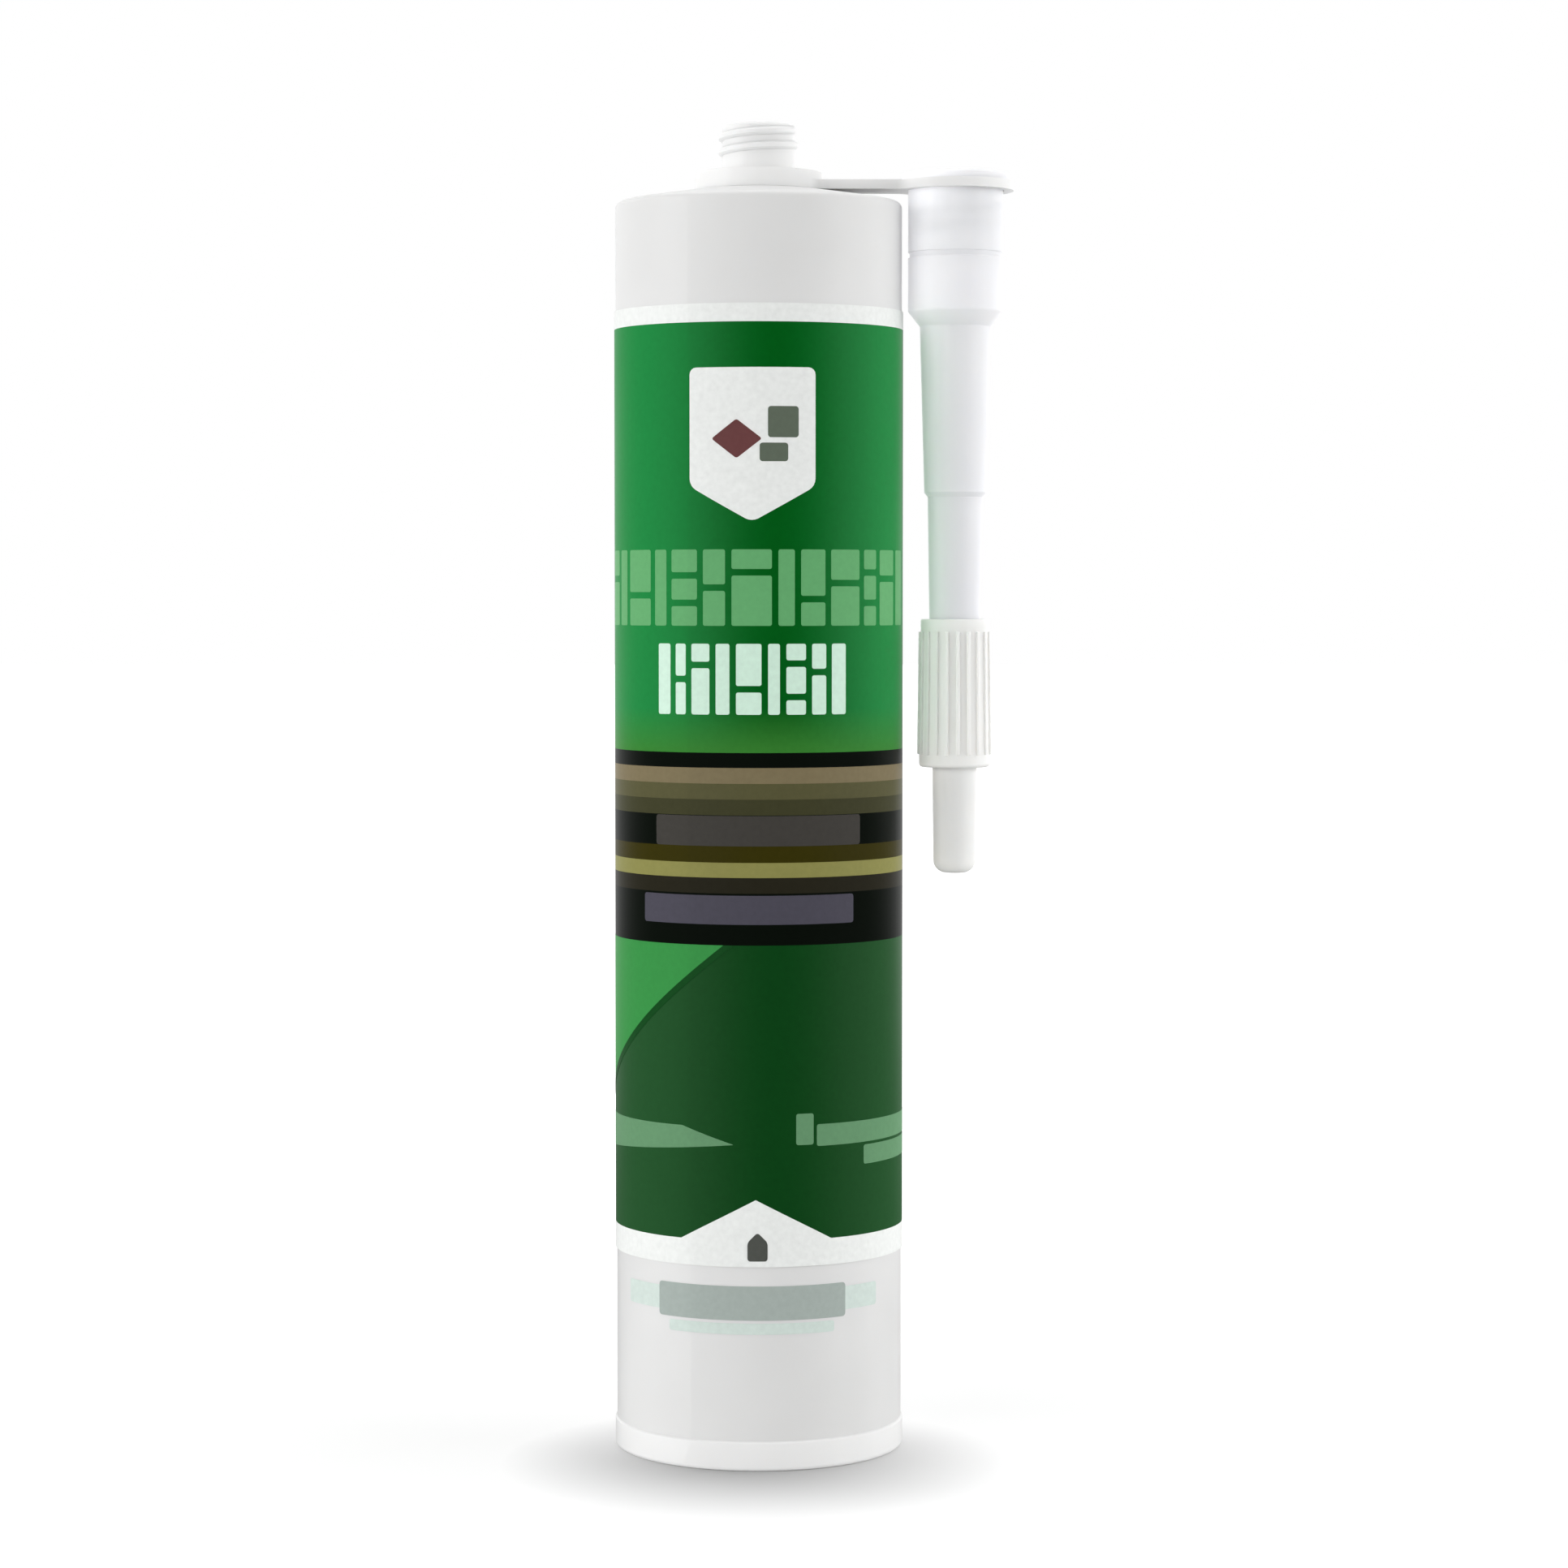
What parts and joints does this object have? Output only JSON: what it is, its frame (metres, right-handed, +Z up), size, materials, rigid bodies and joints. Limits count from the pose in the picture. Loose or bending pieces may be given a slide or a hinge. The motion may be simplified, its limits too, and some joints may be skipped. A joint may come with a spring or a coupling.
{
  "type": "caulk tube",
  "caption": "Upright round caulk cartridge with an open foot, a sliding piston, a closed threaded neck and a capped nozzle hung beside the barrel from a swivelling holder.",
  "frame": {"origin": "centre of the open foot, on the barrel's axis, on the surface it stands on", "axes": "+Z up along the barrel's axis, +X towards the parked nozzle, -Y towards the front of the label"},
  "size_m": [0.0691, 0.05, 0.229],
  "materials": {
    "barrel_plastic": "milky white polyethylene, satin gloss",
    "printed_film": "glossy printed film, green with a dark band",
    "piston_plastic": "natural white polyethylene, satin",
    "sealant": "smooth white sealant paste",
    "holder_plastic": "white polyethylene, satin gloss",
    "nozzle_plastic": "translucent milky polyethylene",
    "cap_plastic": "translucent milky polyethylene, ribbed"
  },
  "bodies": {
    "barrel": {"cartridge_body": "barrel_plastic", "printed_label": "printed_film", "sealant_fill": "sealant"},
    "piston": {"piston": "piston_plastic"},
    "holder": {"nozzle_holder": "holder_plastic", "nozzle": "nozzle_plastic"},
    "cap": {"nozzle_cap": "cap_plastic"}
  },
  "joints": [
    {"name": "piston_slide", "type": "slide", "parent": "barrel", "child": "piston", "axis": [0, 0, 1], "range_m": [0, 0.175], "deforming": ["sealant_fill"]},
    {"name": "holder_swivel", "type": "hinge", "parent": "barrel", "child": "holder", "pos_m": [0, 0, 0.2177], "axis": [0, 0, 1], "continuous": true},
    {"name": "cap_pull", "type": "slide", "parent": "holder", "child": "cap", "axis": [0, 0, -1], "range_m": [0, 0.042]}
  ]
}
